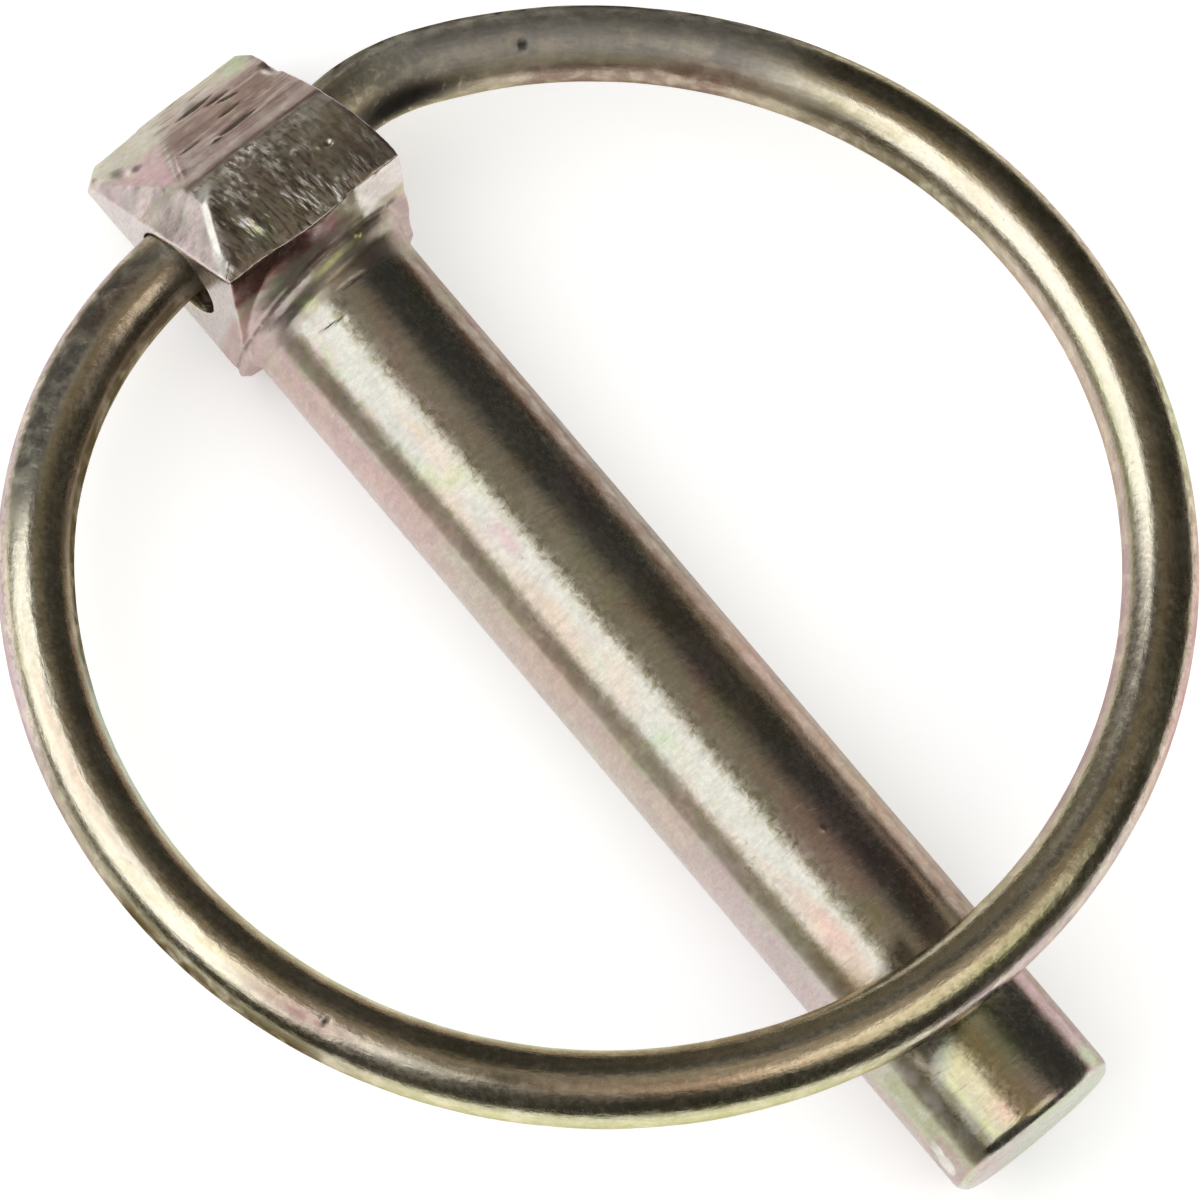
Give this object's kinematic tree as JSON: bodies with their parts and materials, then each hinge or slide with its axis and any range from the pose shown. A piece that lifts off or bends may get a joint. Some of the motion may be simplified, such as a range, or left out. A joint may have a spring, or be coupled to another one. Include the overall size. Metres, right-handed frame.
{
  "type": "lynch pin",
  "caption": "Round steel pin with a forged block head and a spring wire ring that hinges in the head's cross bore and closes over the shank.",
  "frame": {"origin": "on the shank's axis, where the hollow of the neck ends and the plain shank begins", "axes": "+X along the shank towards the flat tip, +Z towards the side that the ring closes on, +Y across the pin so that the ring's hinge lies 5 degrees from it"},
  "size_m": [0.0558, 0.0489, 0.0118],
  "materials": {
    "pin": "yellow zinc passivated steel, brushed and worn, with pink and green tints",
    "ring": "yellow zinc passivated spring wire, grimy, with brown, pink and green tints"
  },
  "bodies": {
    "pin": {"pin": "pin"},
    "ring": {"ring": "ring"}
  },
  "joints": [
    {"name": "ring_hinge", "type": "hinge", "parent": "pin", "child": "ring", "pos_m": [-0.0061, 0, 0.0005], "axis": [0.0872, -0.9962, 0], "range_deg": [0, 343.7]}
  ]
}
